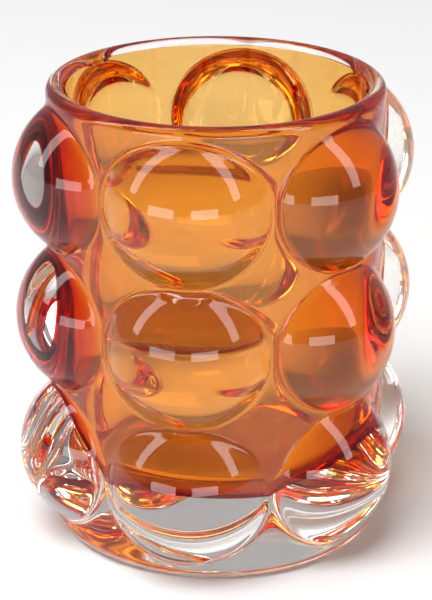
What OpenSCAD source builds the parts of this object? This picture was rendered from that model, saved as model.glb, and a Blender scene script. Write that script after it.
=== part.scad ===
// Tealight holder: a heavy clear glass tumbler covered in round glass domes, with an amber coat
// on the inside of its well. Millimetres, +Z up, origin at the centre of the foot.
// One column of domes faces -Y.

/* [Barrel] */
// Overall height, from the foot to the top of the lip
glass_h = 90; // [75:1:110]
// Outer diameter of the barrel between the domes
barrel_d = 64.6; // [54:0.2:78]
// Thickness of the round lip
lip_t = 3.6; // [2.8:0.1:5]
// Radius of the rounded edge round the foot
foot_edge_r = 3; // [1.5:0.25:3.5]

/* [Well] */
// Thickness of the solid glass under the well
floor_t = 14; // [8:0.5:20]
// Radius inside the well where its wall meets its floor
well_corner_r = 6.5; // [3:0.5:12]
// How far the well's wall leans out below the flare, in degrees
well_lean = 0.6; // [0:0.1:3]
// How far the flared mouth of the well leans out, in degrees
mouth_lean = 5; // [0:0.5:8]
// Distance from the top of the lip down to where the flared mouth starts
mouth_depth = 24; // [6:0.5:40]

/* [Domes] */
// Radius of one dome
dome_r = 16.5; // [13.5:0.1:20]
// How far a dome stands out of the barrel
dome_proud = 7.5; // [5:0.1:9]
// Number of dome columns round the barrel
dome_columns = 6; // [4:1:8]
// Number of dome rows up the barrel
dome_rows = 3; // [2:1:4]
// Gap from the foot up to the edge of the lowest domes
foot_gap = 4; // [3.5:0.1:8]
// Gap from the top of the lip down to the edge of the top domes
lip_gap = 2.7; // [2:0.1:8]

/* [Amber coat] */
// Thickness of the coat on the well's floor and wall and on the inside of the lip
coat_t = 0.3; // [0.2:0.05:0.6]
// Distance from the top of the lip down to the coat's upper edge
coat_drop = 1.2; // [0.3:0.1:1.2]

/* [Hidden] */

barrel_r = barrel_d / 2;
lip_r = lip_t / 2;
lip_x = barrel_r - lip_r;
lip_z = glass_h - lip_r;

mouth_r = barrel_r - lip_t;
flare_z = glass_h - mouth_depth;
flare_r = mouth_r - (lip_z - flare_z) * tan(mouth_lean);
turn_z = floor_t + well_corner_r;
turn_x = flare_r - (flare_z - turn_z) * tan(well_lean) - well_corner_r;

dome_ring_r = barrel_r + dome_proud - dome_r;
dome_root_r = barrel_r - lip_r;
dome_edge_r = sqrt(pow(dome_r, 2) - pow(barrel_r - dome_ring_r, 2));
low_row_z = foot_gap + dome_edge_r;
top_row_z = glass_h - lip_gap - dome_edge_r;
row_pitch = (top_row_z - low_row_z) / (dome_rows - 1);
dome_stack_h = top_row_z - low_row_z + 2 * dome_r;
// How far the cut through the balls runs past their lowest and highest points
cut_past = 1;

// Half section of the space in the well, kept that far from the glass, up to z = top: floor,
// rounded corner, leaning wall, flared mouth and the space beside the round lip
module well_space(gap, top) {
    difference() {
        union() {
            translate([turn_x, turn_z]) circle(r = well_corner_r - gap, $fn = 96);
            polygon([
                [0, floor_t + gap],
                [turn_x, floor_t + gap],
                [turn_x, turn_z],
                [turn_x + well_corner_r - gap, turn_z],
                [flare_r - gap, flare_z],
                [mouth_r - gap, lip_z],
                [lip_x, lip_z],
                [lip_x, top],
                [0, top]
            ]);
        }
        translate([lip_x, lip_z]) circle(r = lip_r + gap, $fn = 64);
    }
}

// Half section of the barrel with its rounded foot edge, its well and its round lip
module barrel_section() {
    difference() {
        union() {
            square([barrel_r - foot_edge_r, lip_z]);
            translate([0, foot_edge_r]) square([barrel_r, lip_z - foot_edge_r]);
            translate([barrel_r - foot_edge_r, foot_edge_r]) circle(r = foot_edge_r, $fn = 64);
        }
        well_space(0, glass_h + lip_r);
    }
    translate([lip_x, lip_z]) circle(r = lip_r, $fn = 64);
}

// Every dome, as a ball cut off inside the thickness of the wall
module domes() {
    difference() {
        for (row = [0 : dome_rows - 1], column = [0 : dome_columns - 1])
            rotate([0, 0, column * 360 / dome_columns - 90])
                translate([dome_ring_r, 0, low_row_z + row * row_pitch])
                    sphere(r = dome_r, $fn = 96);
        translate([0, 0, low_row_z - dome_r - cut_past])
            cylinder(r = dome_root_r, h = dome_stack_h + 2 * cut_past, $fn = 128);
    }
}

// The clear pressed glass: barrel, heavy floor, lip and domes in one piece
module glass_body() {
    color([0.86, 0.83, 0.80, 0.35]) {
        rotate_extrude($fn = 128) barrel_section();
        domes();
    }
}

// The amber coat fused to the floor and wall of the well and to the inside of the lip
module amber_coat() {
    color([0.86, 0.50, 0.14, 0.6])
        rotate_extrude($fn = 128)
            difference() {
                well_space(0, glass_h - coat_drop);
                well_space(coat_t, glass_h + lip_r);
            }
}

glass_body();
amber_coat();
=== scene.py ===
"""A domed glass tealight holder with an amber well, standing on a pale studio floor."""

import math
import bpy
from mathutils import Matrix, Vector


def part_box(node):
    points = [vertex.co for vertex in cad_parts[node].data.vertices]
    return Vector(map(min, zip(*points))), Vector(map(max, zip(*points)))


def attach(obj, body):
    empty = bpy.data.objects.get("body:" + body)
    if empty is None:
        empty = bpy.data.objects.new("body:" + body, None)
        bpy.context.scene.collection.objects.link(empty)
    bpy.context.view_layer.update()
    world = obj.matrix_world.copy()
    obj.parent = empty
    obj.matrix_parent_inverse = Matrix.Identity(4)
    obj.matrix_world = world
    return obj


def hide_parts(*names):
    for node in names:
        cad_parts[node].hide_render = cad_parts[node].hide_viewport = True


bl_info = {
    "name": "Domed Tealight Holder",
    "version": (1, 0, 0),
    "blender": (4, 5, 0),
    "location": "View3D > Sidebar > Holder",
    "description": "Builds a domed glass tealight holder with an amber coat in its well",
    "category": "Add Mesh",
}

import bmesh
import bpy
from mathutils import Matrix, Vector

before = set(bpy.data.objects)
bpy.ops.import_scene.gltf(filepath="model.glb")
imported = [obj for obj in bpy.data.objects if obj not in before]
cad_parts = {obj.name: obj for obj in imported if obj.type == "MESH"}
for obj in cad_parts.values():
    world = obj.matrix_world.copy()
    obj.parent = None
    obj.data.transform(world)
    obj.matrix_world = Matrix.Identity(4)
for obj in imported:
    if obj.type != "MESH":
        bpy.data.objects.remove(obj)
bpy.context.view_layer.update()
GLASS_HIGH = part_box("glass_body")[1]
COAT_LOW, COAT_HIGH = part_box("amber_coat")

MM = 0.001
SHARP = math.radians(40)
FLOOR_GAP = 0.05 * MM
OPEN_SIDE = "open_side"
CARD_FADE = "card_fade"
GLASS_IOR = 1.52
WHITE = (1.0, 1.0, 1.0, 1.0)
DYE_MARGIN = 1.25
FADE_SHARPNESS = 1.3
FLOOR_RADIUS = 3.0


# ---------------------------------------------------------------- settings


def length(name, description, default):
    """A length that the sidebar shows in the scene's units."""
    return bpy.props.FloatProperty(
        name=name, description=description, default=default, min=0.0, subtype="DISTANCE", unit="LENGTH"
    )


def colour(name, description, default):
    return bpy.props.FloatVectorProperty(
        name=name, description=description, default=default, min=0.0, max=1.0, subtype="COLOR", size=3
    )


class HolderSizes(bpy.types.PropertyGroup):
    """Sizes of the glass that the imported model's boxes don't give."""

    barrel: length("Barrel radius", "Outer radius of the barrel between the domes", 32.3 * MM)
    lip: length("Lip", "Thickness of the round lip", 3.6 * MM)
    foot_edge: length("Foot edge", "Radius of the rounded edge round the foot", 3.0 * MM)
    well_corner: length("Well corner", "Radius where the well's wall meets its floor", 6.5 * MM)
    well_lean: bpy.props.FloatProperty(
        name="Well lean", description="How far the well's wall leans out below its flared mouth",
        default=math.radians(0.6), subtype="ANGLE", unit="ROTATION",
    )
    mouth_lean: bpy.props.FloatProperty(
        name="Mouth lean", description="How far the flared mouth of the well leans out",
        default=math.radians(5.0), subtype="ANGLE", unit="ROTATION",
    )
    mouth_depth: length("Mouth depth", "From the top of the lip down to where the mouth flares", 24.0 * MM)
    flare_bend: length("Flare bend", "Radius that softens the turn into the flared mouth", 60.0 * MM)
    coat: length("Coat", "Thickness of the amber coat", 0.3 * MM)
    coat_gap: length("Coat gap", "Hair's breadth between the glass and the coat", 0.02 * MM)
    dome: length("Dome radius", "Radius of one dome", 16.5 * MM)
    foot_gap: length("Foot gap", "From the foot up to the edge of the lowest domes", 4.0 * MM)
    lip_gap: length("Lip gap", "From the top of the lip down to the edge of the top domes", 2.7 * MM)
    crease: length("Crease", "Softness of the crease where a dome meets the barrel", 0.35 * MM)
    ring_step: length("Ring step", "Height between two rings of the barrel's mesh", 0.43 * MM)
    columns: bpy.props.IntProperty(name="Columns", description="Columns of domes", default=6, min=1)
    rows: bpy.props.IntProperty(name="Rows", description="Rows of domes", default=3, min=1)
    turns: bpy.props.IntProperty(name="Steps", description="Mesh steps round the barrel", default=360, min=12)


class HolderColours(bpy.types.PropertyGroup):
    """Colours of the glass, the coat and the floor, as linear values."""

    glass: colour("Clear glass", "Tint of the clear glass", (0.99, 0.975, 0.955))
    amber: colour("Amber", "What one straight pass through the coat lets through", (0.90, 0.53, 0.155))
    floor: colour("Floor", "Colour of the floor", (0.86, 0.86, 0.86))


class HolderStage(bpy.types.PropertyGroup):
    """Camera and lights."""

    camera_turn: bpy.props.FloatProperty(
        name="Camera turn", description="How far the camera stands to the right of the front column",
        default=math.radians(11.0), subtype="ANGLE", unit="ROTATION",
    )
    camera_rise: bpy.props.FloatProperty(
        name="Camera rise", description="Camera height as an angle above the horizon",
        default=math.radians(21.7), subtype="ANGLE", unit="ROTATION",
    )
    camera_away: length("Camera distance", "From the camera to the middle of the holder", 449.5 * MM)
    lens: bpy.props.FloatProperty(name="Lens", description="Focal length in millimetres", default=137.5)
    backdrop: bpy.props.FloatProperty(
        name="Backdrop", description="Brightness behind the holder", default=0.42
    )
    room: bpy.props.FloatProperty(name="Room", description="Brightness on the camera's side", default=0.2)
    # The card settings below place a painted shade card: a dimly glowing sheet that stands in for shaded
    # floor to the right.
    card_turn: bpy.props.FloatProperty(
        name="Card turn", description="How far the grey card stands to the right of the front column",
        default=math.radians(112.0), subtype="ANGLE", unit="ROTATION",
    )
    card_away: length("Card distance", "From the holder's axis to the grey card", 115.0 * MM)
    card_rise: length("Card rise", "From the floor up to the middle of the grey card", 35.0 * MM)
    card_size: bpy.props.FloatVectorProperty(
        name="Card size", description="Width and height of the grey card",
        default=(130.0 * MM, 130.0 * MM), size=2, unit="LENGTH",
    )
    card_shade: bpy.props.FloatProperty(
        name="Card shade", description="Brightness of the grey card", default=0.32
    )


# ---------------------------------------------------------------- shader maths


class Wire:
    """A node's output socket. Arithmetic on it adds Math nodes."""

    def __init__(self, nodes, socket):
        self.nodes, self.socket = nodes, socket

    def math(self, operation, *values):
        return self.nodes.add("ShaderNodeMath", {"operation": operation}, dict(enumerate(values)))

    def __add__(self, other):
        return self.math("ADD", self, other)

    def __mul__(self, other):
        return self.math("MULTIPLY", self, other)

    __radd__ = __add__
    __rmul__ = __mul__

    def clamp(self, low, high):
        return self.math("MINIMUM", self.math("MAXIMUM", self, low), high)


class Nodes:
    """The node tree of a new material or world."""

    def __init__(self, owner):
        owner.use_nodes = True
        self.tree = owner.node_tree
        self.tree.nodes.clear()

    def add(self, kind, settings=None, inputs=None, output=0):
        node = self.tree.nodes.new(kind)
        for key, value in (settings or {}).items():
            setattr(node, key, value)
        for key, value in (inputs or {}).items():
            if isinstance(value, Wire):
                self.tree.links.new(value.socket, node.inputs[key])
            else:
                node.inputs[key].default_value = value
        return Wire(self, node.outputs[output])

    def finish(self, shader, world=False):
        kind = "ShaderNodeOutputWorld" if world else "ShaderNodeOutputMaterial"
        self.output = self.tree.nodes.new(kind)
        self.tree.links.new(shader.socket, self.output.inputs["Surface"])


def new_material(name):
    material = bpy.data.materials.new(name)
    return material, Nodes(material)


def opaque(rgb):
    return (*rgb, 1.0)


# ---------------------------------------------------------------- materials


def fire_polish(nodes, strength, size):
    """A faint waviness, as pressed glass has where the flame has smoothed it."""
    place = nodes.add("ShaderNodeTexCoord", output="Object")
    waves = nodes.add("ShaderNodeTexNoise", None, {"Vector": place, "Scale": 1 / size, "Detail": 1.0})
    return nodes.add("ShaderNodeBump", None, {"Strength": strength, "Distance": 0.1 * MM, "Height": waves})


def clear_glass_material(tint):
    material, nodes = new_material("clear_glass")
    glass = nodes.add(
        "ShaderNodeBsdfPrincipled",
        None,
        {
            "Base Color": opaque(tint),
            "Roughness": 0.0,
            "IOR": GLASS_IOR,
            "Transmission Weight": 1.0,
            "Normal": fire_polish(nodes, 0.15, 9 * MM),
        },
    )
    nodes.finish(glass)
    return material


def bonded_material():
    """The well's own face, where glass and coat touch and nothing bends the light."""
    material, nodes = new_material("bonded_face")
    nodes.finish(nodes.add("ShaderNodeBsdfTransparent", None, {"Color": WHITE}))
    return material


def amber_coat_material(tint, depth):
    """A film of amber lacquer: its open side shines and bends light, its bonded side does neither."""
    material, nodes = new_material("amber_coat")
    side = nodes.add("ShaderNodeAttribute", {"attribute_name": OPEN_SIDE}, output="Fac")
    bonded = nodes.add("ShaderNodeBsdfTransparent", None, {"Color": WHITE})
    shine = nodes.add(
        "ShaderNodeBsdfPrincipled",
        None,
        {
            "Base Color": WHITE,
            "Roughness": 0.0,
            "IOR": GLASS_IOR,
            "Transmission Weight": 1.0,
            "Normal": fire_polish(nodes, 0.1, 12 * MM),
        },
    )
    nodes.finish(nodes.add("ShaderNodeMixShader", None, {0: side, 1: bonded, 2: shine}))
    # Absorption takes density * (1 - colour) of the light in each metre.
    taken = [-math.log(passed) / depth for passed in tint]
    density = max(taken) * DYE_MARGIN
    dye = nodes.add(
        "ShaderNodeVolumeAbsorption",
        None,
        {"Color": opaque(1 - share / density for share in taken), "Density": density},
    )
    nodes.tree.links.new(dye.socket, nodes.output.inputs["Volume"])
    return material


def floor_material(rgb):
    material, nodes = new_material("studio_floor")
    nodes.finish(nodes.add("ShaderNodeBsdfDiffuse", None, {"Color": opaque(rgb)}))
    return material


# ---------------------------------------------------------------- mesh helpers


def arc(centre, radius, start, end, steps):
    """Points (r, z) on an arc, from the angle start to the angle end in degrees."""
    angles = [math.radians(start + (end - start) * i / steps) for i in range(steps + 1)]
    return [(centre[0] + radius * math.cos(a), centre[1] + radius * math.sin(a)) for a in angles]


def straight(start, end, steps):
    """Points (r, z) from start to end, both left out."""
    return [
        tuple(a + (b - a) * i / steps for a, b in zip(start, end))
        for i in range(1, steps)
    ]


def spin_outline(mesh, outline, turns):
    """Spins an outline of (r, z) points round the Z axis and gives back the new faces."""
    before = set(mesh.faces)
    points = [mesh.verts.new((r, 0.0, z)) for r, z in outline]
    edges = [mesh.edges.new(pair) for pair in zip(points, points[1:])]
    bmesh.ops.spin(
        mesh,
        geom=points + edges,
        cent=(0.0, 0.0, 0.0),
        axis=(0.0, 0.0, 1.0),
        angle=math.tau,
        steps=turns,
        use_merge=True,
    )
    return [face for face in mesh.faces if face not in before]


def close_up(mesh):
    """Joins the spun surfaces and their poles, and turns every face outwards."""
    bmesh.ops.remove_doubles(mesh, verts=mesh.verts, dist=0.001 * MM)
    bmesh.ops.recalc_face_normals(mesh, faces=mesh.faces)


def finished(mesh, name, materials):
    """Turns a bmesh into an object at the origin, smooth but for its sharp edges."""
    for face in mesh.faces:
        face.smooth = True
    for edge in mesh.edges:
        edge.smooth = not edge.is_manifold or edge.calc_face_angle() < SHARP
    data = bpy.data.meshes.new(name)
    mesh.to_mesh(data)
    mesh.free()
    for material in materials:
        data.materials.append(material)
    piece = bpy.data.objects.new(name, data)
    bpy.context.scene.collection.objects.link(piece)
    return piece


# ---------------------------------------------------------------- the glass


class DomeSkin:
    """The radius of the outer surface at an angle and a height: the barrel with its domes."""

    def __init__(self, sizes, barrel):
        self.barrel, self.ball, self.softness = barrel, sizes.dome, sizes.crease
        self.ring = GLASS_HIGH.y - sizes.dome
        edge = math.sqrt(sizes.dome**2 - (barrel - self.ring) ** 2)
        low = sizes.foot_gap + edge
        high = GLASS_HIGH.z - sizes.lip_gap - edge
        self.heights = [low + (high - low) * i / (sizes.rows - 1) for i in range(sizes.rows)]
        self.angles = [math.tau * i / sizes.columns - math.pi / 2 for i in range(sizes.columns)]

    def radius(self, angle, height):
        """Each dome's surface and the barrel, blended so that creases have a small fillet."""
        reaches = [self.barrel]
        for column in self.angles:
            across = self.ring * math.sin(angle - column)
            out = self.ring * math.cos(angle - column)
            for middle in self.heights:
                left = self.ball**2 - across**2 - (height - middle) ** 2
                if left > 0 and out > 0:
                    reaches.append(out + math.sqrt(left))
        most = max(reaches)
        total = sum(math.exp((reach - most) / self.softness) for reach in reaches)
        return most + self.softness * math.log(total)


class Well:
    """Half section of the well: floor, corner, leaning wall, flared mouth and inner half of the lip."""

    def __init__(self, sizes):
        self.corner, self.lip = sizes.well_corner, sizes.lip / 2
        self.lip_at = (sizes.barrel - self.lip, GLASS_HIGH.z - self.lip)
        flare_z = GLASS_HIGH.z - sizes.mouth_depth
        flare_r = sizes.barrel - sizes.lip - (self.lip_at[1] - flare_z) * math.tan(sizes.mouth_lean)
        self.flare_at = (flare_r, flare_z)
        turn_z = COAT_LOW.z + self.corner
        wall_r = flare_r - (flare_z - turn_z) * math.tan(sizes.well_lean)
        self.turn_at = (wall_r - self.corner, turn_z)
        self.leans, self.bend_radius = (sizes.well_lean, sizes.mouth_lean), sizes.flare_bend

    def coat_edge(self, inset):
        """Where the coat's upper edge lies on the lip, as an angle round the lip's centre."""
        return 180 - math.degrees(math.asin((COAT_HIGH.z - self.lip_at[1]) / (self.lip + inset)))

    def flare(self, inset):
        """The soft turn into the flared mouth, as an arc that touches the wall below and above it."""
        low, high = self.leans
        reach = self.bend_radius * math.tan((high - low) / 2)
        start = (self.flare_at[0] - inset - reach * math.sin(low), self.flare_at[1] - reach * math.cos(low))
        centre = (start[0] + self.bend_radius * math.cos(low), start[1] - self.bend_radius * math.sin(low))
        return arc(centre, self.bend_radius, 180 - math.degrees(low), 180 - math.degrees(high), 6)

    def outline(self, inset):
        """Points from the middle of the floor to the coat's upper edge, moved into the well by inset."""
        middle = (0.0, COAT_LOW.z + inset)
        corner = arc(self.turn_at, self.corner - inset, -90, 0, 20)
        flare = self.flare(inset)
        rim = arc(self.lip_at, self.lip + inset, 180, self.coat_edge(inset), 10)
        floor, wall = straight(middle, corner[0], 3), straight(corner[-1], flare[0], 10)
        return [middle] + floor + corner + wall + flare + straight(flare[-1], rim[0], 5) + rim


def outer_outline(sizes):
    """Half section of the bare glass, from the middle of the foot round to the coat's upper edge."""
    edge, well = sizes.foot_edge, Well(sizes)
    foot = (sizes.barrel - edge, 0.0)
    lip_z = well.lip_at[1]
    rings = round((lip_z - edge) / sizes.ring_step)
    return (
        [(0.0, 0.0)]
        + straight((0.0, 0.0), foot, 3)
        + arc((foot[0], edge), edge, -90, 0, 8)
        + straight((sizes.barrel, edge), (sizes.barrel, lip_z), rings)
        + arc(well.lip_at, well.lip, 0, well.coat_edge(0.0), 12)
    )


def raise_domes(mesh, sizes):
    """Moves the barrel's own vertices out to the domes."""
    lip_z = GLASS_HIGH.z - sizes.lip / 2
    skin = DomeSkin(sizes, sizes.barrel)
    for vertex in mesh.verts:
        out = vertex.co.xy.length
        if abs(out - sizes.barrel) < 0.01 * MM and sizes.foot_edge < vertex.co.z < lip_z:
            reach = skin.radius(math.atan2(vertex.co.y, vertex.co.x), vertex.co.z)
            vertex.co.xy *= reach / out


class HOLDER_OT_glass_body(bpy.types.Operator):
    """Build the clear glass: barrel, heavy floor, lip and domes in one piece"""

    bl_idname = "holder.glass_body"
    bl_label = "Glass Body"

    def execute(self, context):
        sizes, colours = context.scene.holder_sizes, context.scene.holder_colours
        mesh = bmesh.new()
        for face in spin_outline(mesh, Well(sizes).outline(0.0), sizes.turns):
            face.material_index = 1
        spin_outline(mesh, outer_outline(sizes), sizes.turns)
        close_up(mesh)
        raise_domes(mesh, sizes)
        materials = [clear_glass_material(colours.glass), bonded_material()]
        piece = finished(mesh, "pressed_glass_body", materials)
        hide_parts("glass_body")
        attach(piece, "root")
        return {"FINISHED"}


class HOLDER_OT_amber_coat(bpy.types.Operator):
    """Build the amber coat on the inside of the well"""

    bl_idname = "holder.amber_coat"
    bl_label = "Amber Coat"

    def execute(self, context):
        sizes, colours = context.scene.holder_sizes, context.scene.holder_colours
        mesh, well = bmesh.new(), Well(sizes)
        open_side = mesh.verts.layers.float.new(OPEN_SIDE)
        bonded, opened = well.outline(sizes.coat_gap), well.outline(sizes.coat)
        spin_outline(mesh, bonded + opened[-1:], sizes.turns)
        for face in spin_outline(mesh, opened, sizes.turns):
            for vertex in face.verts:
                vertex[open_side] = 1.0
        close_up(mesh)
        piece = finished(mesh, "amber_well_coat", [amber_coat_material(colours.amber, sizes.coat)])
        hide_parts("amber_coat")
        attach(piece, "root")
        return {"FINISHED"}


# ---------------------------------------------------------------- the stage


def aimed(place, target):
    return (target - place).to_track_quat("-Z", "Y").to_euler()


def around(target, turn, rise, away):
    """A point at that distance from target, turned from the front and raised, in radians."""
    return target + away * Vector(
        (math.sin(turn) * math.cos(rise), -math.cos(turn) * math.cos(rise), math.sin(rise))
    )


def softbox(target, name, turn, rise, away, size, power):
    """A rectangular light aimed at target, turned and raised in degrees."""
    lamp = bpy.data.lights.new(name, "AREA")
    lamp.shape = "RECTANGLE"
    lamp.size, lamp.size_y = size
    lamp.energy = power
    lamp_object = bpy.data.objects.new(name, lamp)
    lamp_object.location = around(target, math.radians(turn), math.radians(rise), away)
    lamp_object.rotation_euler = aimed(lamp_object.location, target)
    bpy.context.scene.collection.objects.link(lamp_object)
    return lamp_object


# Name, turn from the front column and rise in degrees, distance, width and height in metres, power in watts.
# The glints don't light the floor: they show in the glass, by reflection or through it.
# The key light lights the floor and isn't seen as a reflection.
GLINTS = (
    ("left_softbox", -27, 2, 1.0, (0.6, 0.24), 2.1),
    ("right_softbox", 27, 2, 1.0, (0.6, 0.24), 2.1),
    ("left_strip", -71, 45, 1.0, (0.22, 1.3), 4.0),
    ("right_strip", 71, 45, 1.0, (0.22, 1.3), 4.0),
)
KEY = ("key_softbox", -25, 62, 1.8, (1.2, 1.2), 41.0)


def backdrop_world(stage):
    """Surroundings that are bright behind the holder and dim on the camera's side."""
    world = bpy.data.worlds.new("backdrop")
    nodes = Nodes(world)
    looking = nodes.add("ShaderNodeTexCoord", output="Generated")
    behind = around(Vector(), stage.camera_turn + math.pi, 0.0, 1.0)
    facing = nodes.add(
        "ShaderNodeVectorMath", {"operation": "DOT_PRODUCT"}, {0: looking, 1: behind}, output="Value"
    )
    share = (facing * 0.5 + 0.5).clamp(0.0, 1.0)
    strength = share * (stage.backdrop - stage.room) + stage.room
    nodes.finish(
        nodes.add("ShaderNodeBackground", None, {"Color": WHITE, "Strength": strength}), world=True
    )
    return world


def painted_shade_card(stage):
    """A grey card with a soft edge, standing to the right, which only the glass sees. It is painted shade: a
    dimly glowing sheet in place of the shaded floor off to the right.
    """
    mesh = bmesh.new()
    bmesh.ops.create_grid(mesh, x_segments=32, y_segments=32, size=0.5)
    fade = mesh.verts.layers.float.new(CARD_FADE)
    for vertex in mesh.verts:
        vertex[fade] = max(0.0, 1.0 - 2.0 * vertex.co.xy.length)
    width, height = stage.card_size
    bmesh.ops.scale(mesh, verts=mesh.verts, vec=(width, height, 1.0))
    bmesh.ops.rotate(mesh, verts=mesh.verts, matrix=Matrix.Rotation(math.pi / 2, 3, "X"))
    bmesh.ops.translate(mesh, verts=mesh.verts, vec=(0.0, stage.card_away, stage.card_rise))
    turn = Matrix.Rotation(stage.card_turn - math.pi, 3, "Z")
    bmesh.ops.rotate(mesh, verts=mesh.verts, matrix=turn)
    material, nodes = new_material("painted_shade_card")
    solid = nodes.add("ShaderNodeAttribute", {"attribute_name": CARD_FADE}, output="Fac") * FADE_SHARPNESS
    clear = nodes.add("ShaderNodeBsdfTransparent", None, {"Color": WHITE})
    # Painted shade: the card glows at this dim strength in place of shaded floor.
    grey = nodes.add("ShaderNodeEmission", None, {"Color": WHITE, "Strength": stage.card_shade})
    nodes.finish(nodes.add("ShaderNodeMixShader", None, {0: solid.clamp(0.0, 1.0), 1: clear, 2: grey}))
    card = finished(mesh, "painted_shade_card", [material])
    card.visible_camera = card.visible_diffuse = card.visible_shadow = False


class HOLDER_OT_stage(bpy.types.Operator):
    """Build the floor, the lights, the backdrop and the camera"""

    bl_idname = "holder.stage"
    bl_label = "Stage"

    def execute(self, context):
        scene = context.scene
        stage, colours = scene.holder_stage, scene.holder_colours
        middle = Vector((0.0, 0.0, GLASS_HIGH.z / 2))

        mesh = bmesh.new()
        bmesh.ops.create_circle(mesh, cap_ends=True, segments=96, radius=FLOOR_RADIUS)
        bmesh.ops.translate(mesh, verts=mesh.verts, vec=(0.0, 0.0, -FLOOR_GAP))
        floor = finished(mesh, "floor", [floor_material(colours.floor)])

        scene.world = backdrop_world(stage)
        for glint in GLINTS:
            softbox(middle, *glint).visible_diffuse = False
        softbox(middle, *KEY).visible_glossy = False
        # Painted shade card, seen only in and through the glass, in place of shaded floor to the right.
        painted_shade_card(stage)

        camera = bpy.data.cameras.new("camera")
        camera.lens = stage.lens
        camera_object = bpy.data.objects.new("camera", camera)
        camera_object.location = around(middle, stage.camera_turn, stage.camera_rise, stage.camera_away)
        camera_object.rotation_euler = aimed(camera_object.location, middle)
        scene.collection.objects.link(camera_object)
        scene.camera = camera_object

        scene.view_settings.view_transform = "Standard"
        scene.cycles.max_bounces = 32
        scene.cycles.transmission_bounces = 32
        scene.cycles.glossy_bounces = 16
        scene.cycles.transparent_max_bounces = 48
        return {"FINISHED"}


class HOLDER_PT_sidebar(bpy.types.Panel):
    """The holder's pieces and settings"""

    bl_idname = "HOLDER_PT_sidebar"
    bl_label = "Tealight Holder"
    bl_space_type = "VIEW_3D"
    bl_region_type = "UI"
    bl_category = "Holder"

    def draw(self, context):
        for operator in STEPS:
            self.layout.operator(operator.bl_idname)
        for group in ("holder_sizes", "holder_colours", "holder_stage"):
            settings = getattr(context.scene, group)
            for key in settings.__annotations__:
                self.layout.prop(settings, key)


STEPS = (HOLDER_OT_glass_body, HOLDER_OT_amber_coat, HOLDER_OT_stage)
GROUPS = {"holder_sizes": HolderSizes, "holder_colours": HolderColours, "holder_stage": HolderStage}


def register():
    for group, kind in GROUPS.items():
        bpy.utils.register_class(kind)
        setattr(bpy.types.Scene, group, bpy.props.PointerProperty(type=kind))
    for kind in (*STEPS, HOLDER_PT_sidebar):
        bpy.utils.register_class(kind)


def unregister():
    for kind in (HOLDER_PT_sidebar, *reversed(STEPS)):
        bpy.utils.unregister_class(kind)
    for group, kind in GROUPS.items():
        delattr(bpy.types.Scene, group)
        bpy.utils.unregister_class(kind)


def main():
    register()
    bpy.ops.holder.glass_body()
    bpy.ops.holder.amber_coat()
    bpy.ops.holder.stage()


if __name__ == "__main__":
    main()
